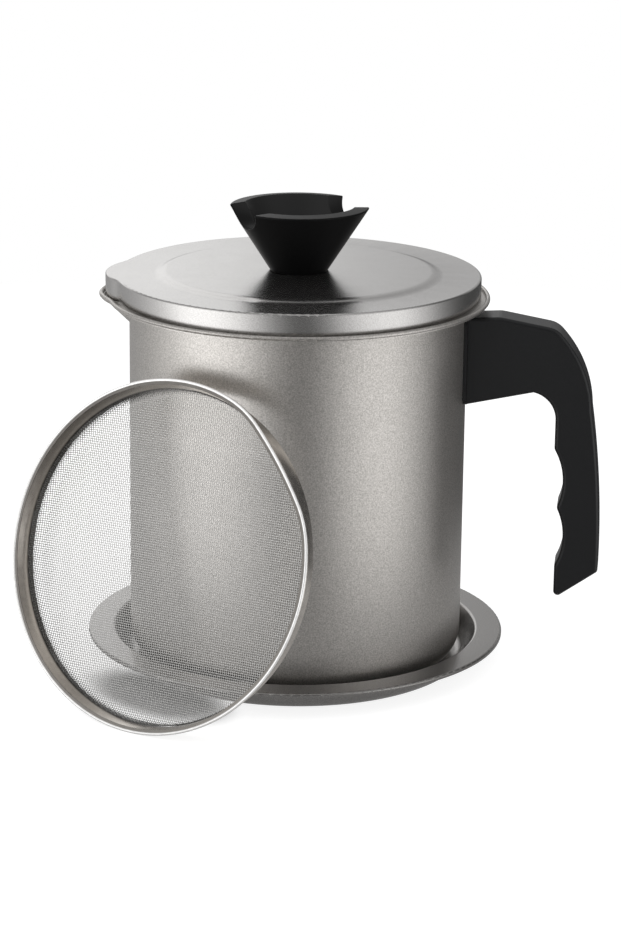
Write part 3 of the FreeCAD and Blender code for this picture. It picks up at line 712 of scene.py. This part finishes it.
# %% Edge bends
EDGE_BENDS = {"lid_shell": {"Top": 136.3 * MM, "Bend": 0.7 * MM, "Beyond": 61.75 * MM},
              "drip_tray": {"Top": 10.0 * MM, "Bend": 0.8 * MM, "Beyond": 72.02 * MM}}
HALF_WAY = 0.5
BEND_REACH = 0.51


def true_normal(tree, normal, up):
    """A normal of length 1 that keeps its direction round the object, but rises by up."""
    outwards = vectors(tree, "NORMALIZE", vectors(tree, "MULTIPLY", normal, (1, 1, 0)))
    across = maths(tree, "SQRT", maths(tree, "SUBTRACT", 1, maths(tree, "MULTIPLY", up, up)))
    upright = add(tree, "ShaderNodeCombineXYZ", {2: up}).outputs[0]
    return vectors(tree, "ADD", scaled(tree, outwards, across), upright)


def bend_tree():
    """True normals on the bend below the height Top, farther from the axis than Beyond. The rise is 0 at
    the bend's foot and 1 at its top."""
    tree, given = new_tree("bend", {"Top": "Float", "Bend": "Float", "Beyond": "Float"})
    x, y, z = split(tree, add(tree, "GeometryNodeInputPosition").outputs[0])
    foot = maths(tree, "SUBTRACT", given["Top"], given["Bend"])
    rise = maths(tree, "DIVIDE", maths(tree, "SUBTRACT", z, foot), given["Bend"])
    at_edge = maths(tree, "GREATER_THAN", off_axis(tree, x, y), given["Beyond"])
    on_bend = maths(tree, "MULTIPLY", maths(tree, "COMPARE", rise, HALF_WAY, BEND_REACH), at_edge)
    up = maths(tree, "MINIMUM", maths(tree, "MAXIMUM", rise, 0), 1)
    normal = add(tree, "GeometryNodeInputNormal").outputs[0]
    chosen = add(tree, "GeometryNodeSwitch", {
        "Switch": maths(tree, "GREATER_THAN", on_bend, 0.5), "False": normal,
        "True": true_normal(tree, normal, up)}, input_type="VECTOR").outputs[0]
    bent = add(tree, "GeometryNodeSetMeshNormal", {"Mesh": given["Geometry"], "Custom Normal": chosen},
               mode="FREE", domain="CORNER").outputs[0]
    add(tree, "NodeGroupOutput", {0: bent})
    return tree


bend = bend_tree()
for name, sizes in EDGE_BENDS.items():
    use_tree(nodes[name], bend, sizes)
print("edge bends:", sorted(EDGE_BENDS))

# %% [markdown]
# ## The wire cloth
# The strainer's bottom is plain-woven wire: each wire goes over one and under the next. One skin with a
# picture of holes would look flat, so every wire is real. A grid has its points where wires cross. Its
# edges along one way are kept, each point is lifted or lowered in turn, the flat cloth is drawn down
# into a pan, and each line becomes a thin tube. The same tree makes both ways of the weave: only the
# switch and the lift differ. With five sides a wire this thin still looks round, and the cloth stays
# light.

# %% Sizes of the cloth
PITCH = 0.79 * MM
WIRE_RADIUS = 0.115 * MM
WAVE = 0.17 * MM
WIRE_SIDES = 5
WIRES = 153
WALL_CLIMB = 3.5 * MM
CLOTH_SQUARE = math.radians(2)
FLAT_RADIUS = PAN_RADIUS - PAN_BEND
CLOTH_BEND = PAN_BEND - CLOTH_THICK / 2
CLOTH_RADIUS = FLAT_RADIUS + CLOTH_BEND * math.pi / 2 + WALL_CLIMB
print("cloth before it is pressed, mm across:", round(2 * CLOTH_RADIUS / MM, 1))

# %% [markdown]
# The pan is the hard part. Along the arc of its bend the cloth turns from level to upright, and past
# the bend it climbs straight. A crest stands off the cloth towards the pan's mouth, so on the wall it
# moves inwards: the lift is taken off the bend's radius, before the arc is drawn.

# %% From the flat cloth into the pan


def crest_or_valley(tree, x, y, pitch):
    """1 and -1 in turn, like the squares of a chess board. Rounding gives 0, 1 or 2, and 2 counts as 0."""
    count = maths(tree, "ADD", maths(tree, "DIVIDE", x, pitch), maths(tree, "DIVIDE", y, pitch))
    odd = maths(tree, "ROUND", maths(tree, "FLOORED_MODULO", count, 2))
    odd = maths(tree, "FLOORED_MODULO", odd, 2)
    return maths(tree, "SUBTRACT", maths(tree, "MULTIPLY", odd, 2), 1)


def pan_position(tree, place, given):
    """Where a point of the flat cloth lies in the pan. Also its crest, which is 1 on a crest and 0 in a
    valley, and its wall, which is 0 on the flat bottom and 1 on the wall."""
    x, y, _ = split(tree, place)
    lift = maths(tree, "MULTIPLY", crest_or_valley(tree, x, y, given["Pitch"]), given["Wave"])
    out = length(tree, place)
    round_bend = maths(tree, "DIVIDE", maths(tree, "SUBTRACT", out, FLAT_RADIUS), CLOTH_BEND)
    angle = maths(tree, "MINIMUM", maths(tree, "MAXIMUM", round_bend, 0), math.pi / 2)
    past = maths(tree, "SUBTRACT", out, FLAT_RADIUS + CLOTH_BEND * math.pi / 2)
    climb = maths(tree, "MAXIMUM", past, 0)
    off = maths(tree, "SUBTRACT", CLOTH_BEND, lift)
    level = maths(tree, "MULTIPLY", off, maths(tree, "SINE", angle))
    drop = maths(tree, "MULTIPLY", off, maths(tree, "COSINE", angle))
    radius = maths(tree, "ADD", maths(tree, "MINIMUM", out, FLAT_RADIUS), level)
    height = maths(tree, "ADD", maths(tree, "SUBTRACT", PAN_BEND - PAN_DEPTH, drop), climb)
    across, along, _ = split(tree, scaled(tree, vectors(tree, "NORMALIZE", place), radius))
    position = add(tree, "ShaderNodeCombineXYZ", {0: across, 1: along, 2: height}).outputs[0]
    crest = maths(tree, "MULTIPLY_ADD", lift, 0.5 / WAVE, 0.5)
    return position, crest, maths(tree, "DIVIDE", angle, math.pi / 2)


# %% [markdown]
# The rest of the tree is short. The grid is cut to a disc, and then loses its edges along the other
# way, so that only the lines of one way are left. The switch picks which way. Crest and wall are stored
# on the points before they move, because the steel of the wires reads them for its painted highlight
# and shade.

# %% From a grid to lines, and from lines to tubes


def cut_disc(tree, grid, place, given):
    outside = greater(tree, length(tree, place), given["Cloth Radius"])
    return add(tree, "GeometryNodeDeleteGeometry", {"Geometry": grid, "Selection": outside},
               domain="POINT").outputs[0]


def keep_one_way(tree, cloth, given):
    ends = add(tree, "GeometryNodeInputMeshEdgeVertices").outputs
    step_x, step_y, _ = split(tree, vectors(tree, "SUBTRACT", ends["Position 2"], ends["Position 1"]))
    crosswise = add(tree, "GeometryNodeSwitch", {
        "Switch": given["Along Y"], "False": maths(tree, "ABSOLUTE", step_y),
        "True": maths(tree, "ABSOLUTE", step_x)}, input_type="FLOAT").outputs[0]
    unwanted = greater(tree, crosswise, maths(tree, "MULTIPLY", given["Pitch"], 0.5))
    return add(tree, "GeometryNodeDeleteGeometry", {"Geometry": cloth, "Selection": unwanted},
               domain="EDGE", mode="EDGE_FACE").outputs[0]


def tubes_along(tree, lines, sides, radius):
    curves = add(tree, "GeometryNodeMeshToCurve", {0: lines}).outputs[0]
    section = add(tree, "GeometryNodeCurvePrimitiveCircle", {"Resolution": sides, "Radius": radius},
                  mode="RADIUS").outputs[0]
    return add(tree, "GeometryNodeCurveToMesh", {"Curve": curves, "Profile Curve": section}).outputs[0]


# %% The tree that weaves


def weave_tree(material):
    tree, given = new_tree("weave", {
        "Pitch": "Float", "Wires": "Int", "Wire Radius": "Float", "Wave": "Float",
        "Cloth Radius": "Float", "Along Y": "Bool"})
    span = maths(tree, "MULTIPLY", given["Pitch"], maths(tree, "SUBTRACT", given["Wires"], 1))
    grid = add(tree, "GeometryNodeMeshGrid", {
        "Size X": span, "Size Y": span, "Vertices X": given["Wires"], "Vertices Y": given["Wires"]})
    place = add(tree, "GeometryNodeInputPosition").outputs[0]
    lines = keep_one_way(tree, cut_disc(tree, grid.outputs[0], place, given), given)
    position, crest, wall = pan_position(tree, place, given)
    for label, value in (("crest", crest), ("wall", wall)):
        sockets = {"Geometry": lines, "Name": label, "Value": value}
        stored = add(tree, "GeometryNodeStoreNamedAttribute", sockets, data_type="FLOAT", domain="POINT")
        lines = stored.outputs[0]
    drawn = add(tree, "GeometryNodeSetPosition", {"Geometry": lines, "Position": position}).outputs[0]
    end_tree(tree, tubes_along(tree, drawn, WIRE_SIDES, given["Wire Radius"]), material)
    return tree


loom = weave_tree(wire_steel)
print("nodes in the loom:", len(loom.nodes))

# %% [markdown]
# Warp and weft are one piece each, so that both stay small. Where the warp is on a crest, the weft is
# in a valley, so its wave is negative. The cloth was laid into the rim a little out of square. It
# doesn't show in reflections, so that the pot behind it keeps the light of the room.

# %% Weave both ways


def weave(name, along_y, wave):
    cloth = into_scene(name, bpy.data.meshes.new(name))
    use_tree(cloth, loom, {
        "Pitch": PITCH, "Wires": WIRES, "Wire Radius": WIRE_RADIUS, "Wave": wave,
        "Cloth Radius": CLOTH_RADIUS, "Along Y": along_y})
    plain_mesh(cloth)
    cloth.data.transform(strainer_place() @ Matrix.Rotation(CLOTH_SQUARE, 4, "Z"))
    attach(cloth, "strainer")
    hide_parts("strainer_mesh")
    cloth.visible_glossy = False
    print(name, "faces:", len(cloth.data.polygons))


weave("cloth_warp", along_y=True, wave=WAVE)
weave("cloth_weft", along_y=False, wave=-WAVE)

# %% [markdown]
# ## The rolled lip
# The strainer's lip is a sheet folded over, so its outer half is a small round roll and its inner half
# is flat. The roll is a tube along the lip's outline: a long round arc, and on one side a slightly
# bowed flat with rounded ends. Each arc is a circle, and a line from the middle meets a circle at one
# distance, which is all that is needed to walk round the outline.

# %% The lip's outline
FLAT_INWARDS = 2.3 * MM
FLAT_BOW = 140 * MM
FLAT_CORNER = 35 * MM
FLAT_TURN = math.radians(42.7)


def meets(centre, radius, way):
    """Distance from the middle to a circle, in the direction of a unit vector."""
    along = centre.dot(way)
    return along + math.sqrt(radius ** 2 - centre.length_squared + along ** 2)


def turned(point):
    """Angle at the middle, from the middle of the flat to a point of the upper half."""
    return math.atan2(point.y, point.x)


def lip_reach(angle, inset):
    """Distance from the middle to the outline, moved inwards, at an angle from the middle of the flat.
    Both halves are alike, so the upper one serves for both."""
    radius, bow, corner = LIP_RADIUS - inset, FLAT_BOW - inset, FLAT_CORNER - inset
    back = bow - radius + FLAT_INWARDS
    to_round, to_bow = radius - corner, bow - corner
    corner_x = (to_bow ** 2 - to_round ** 2 - back ** 2) / (2 * back)
    corner_at = Vector((corner_x, math.sqrt(to_round ** 2 - corner_x ** 2)))
    flat_end = Vector((corner_at.x + back, corner_at.y)) * (bow / to_bow) - Vector((back, 0))
    way = Vector((math.cos(angle), abs(math.sin(angle))))
    if turned(way) < turned(flat_end):
        return meets(Vector((-back, 0)), bow, way)
    if turned(way) < turned(corner_at):
        return meets(corner_at, corner, way)
    return radius


print("lip, mm: round", LIP_RADIUS / MM, "flat", round(lip_reach(0, 0) / MM, 2))

# %% [markdown]
# The roll stands a little proud of the lip's face. Its points are laid out in the strainer's own frame,
# turned to where the flat is, and a tree makes the tube.

# %% The roll
ROLL_RADIUS = 0.52 * MM
ROLL_PROUD = 0.28 * MM
ROLL_STEPS = 360
ROLL_SIDES = 16


def tube_tree(material):
    tree, given = new_tree("tube", {"Radius": "Float"})
    end_tree(tree, tubes_along(tree, given["Geometry"], ROLL_SIDES, given["Radius"]), material)
    return tree


def make_roll():
    ring = []
    for step in range(ROLL_STEPS):
        angle = 2 * math.pi * step / ROLL_STEPS
        out = lip_reach(angle, ROLL_RADIUS)
        around = angle + FLAT_TURN
        ring.append((out * math.cos(around), out * math.sin(around), ROLL_PROUD - ROLL_RADIUS))
    mesh = bpy.data.meshes.new("lip_roll")
    mesh.from_pydata(ring, [(n, (n + 1) % ROLL_STEPS) for n in range(ROLL_STEPS)], [])
    roll = into_scene("lip_roll", mesh)
    use_tree(roll, tube_tree(lip_steel), {"Radius": ROLL_RADIUS})
    plain_mesh(roll)
    roll.data.shade_smooth()
    roll.data.transform(strainer_place())
    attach(roll, "strainer")
    print("roll faces:", len(roll.data.polygons))


make_roll()

# %% [markdown]
# ## Colours and sizes
# The colours are shown as they are, and the sizes of the frame and of the finished model are put side
# by side.

# %% Finish
bpy.context.scene.view_settings.view_transform = "Standard"
sizes = {"cad": [list(corner) for corner in cad_box], "visual": [list(corner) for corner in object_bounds()]}
